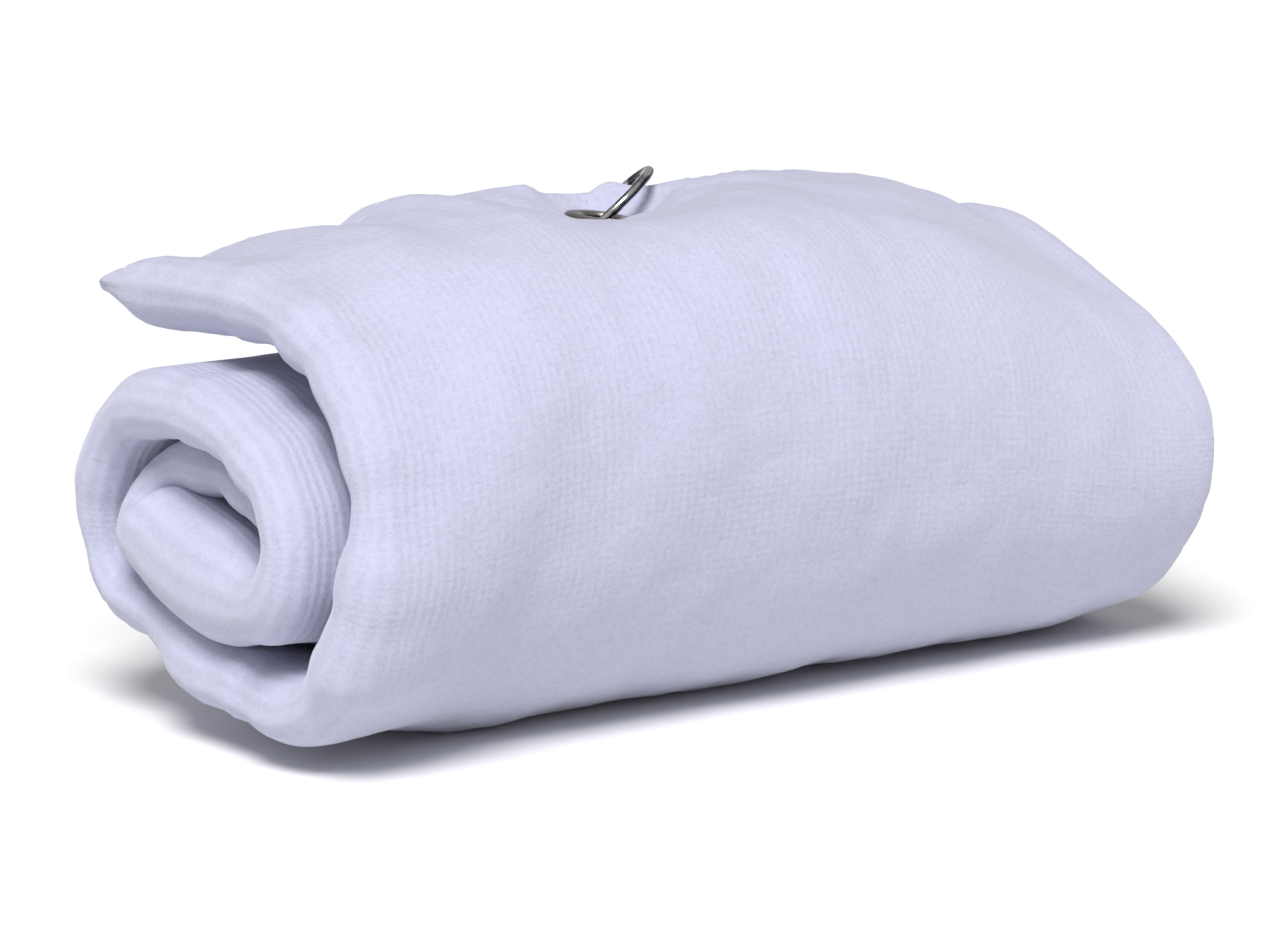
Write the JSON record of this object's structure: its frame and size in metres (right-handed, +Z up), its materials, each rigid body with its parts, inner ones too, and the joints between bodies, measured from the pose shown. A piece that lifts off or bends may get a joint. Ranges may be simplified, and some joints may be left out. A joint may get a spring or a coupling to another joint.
{
  "type": "golf towel",
  "caption": "Folded and rolled terry golf towel with a brass eyelet near its hem and a small spring-gate wire hook clipped through it.",
  "frame": {"origin": "centre of the bounding box in X and Y, at the lowest point of the roll, which is the surface the towel lies on", "axes": "+X along the roll's axis towards its right end, +Z up, -Y towards the broad outer face of the roll; the hem with the eyelet and hook lies on top towards +Y"},
  "size_m": [0.202, 0.1031, 0.0903],
  "materials": {
    "terry": "sheared terry pile",
    "thread": "matte thread",
    "eyelet_metal": "nickel plated, satin",
    "hook_metal": "polished",
    "rivet_metal": "satin",
    "spring_metal": "spring steel"
  },
  "bodies": {
    "towel": {"towel_cloth": "terry", "outer_hem_stitching": "thread", "inner_hem_stitching": "thread", "left_side_stitching": "thread", "right_side_stitching": "thread", "grommet_eyelet": "eyelet_metal", "grommet_washer": "eyelet_metal"},
    "hook": {"hook_frame": "hook_metal", "gate_rivet": "rivet_metal"},
    "gate": {"hook_gate": "hook_metal", "gate_spring": "spring_metal", "gate_plunger": "spring_metal"}
  },
  "joints": [
    {"name": "hook_tilt", "type": "hinge", "parent": "towel", "child": "hook", "pos_m": [0.0109, 0.02813, 0.08021], "axis": [-0.5056, -0.8584, 0.0872], "range_deg": [0, 85]},
    {"name": "gate_swing", "type": "hinge", "parent": "hook", "child": "gate", "pos_m": [0.0241, 0.046, 0.08036], "axis": [-0.5437, 0.3954, 0.7403], "range_deg": [0, 45], "stiffness_Nm_per_rad": 0.002}
  ]
}
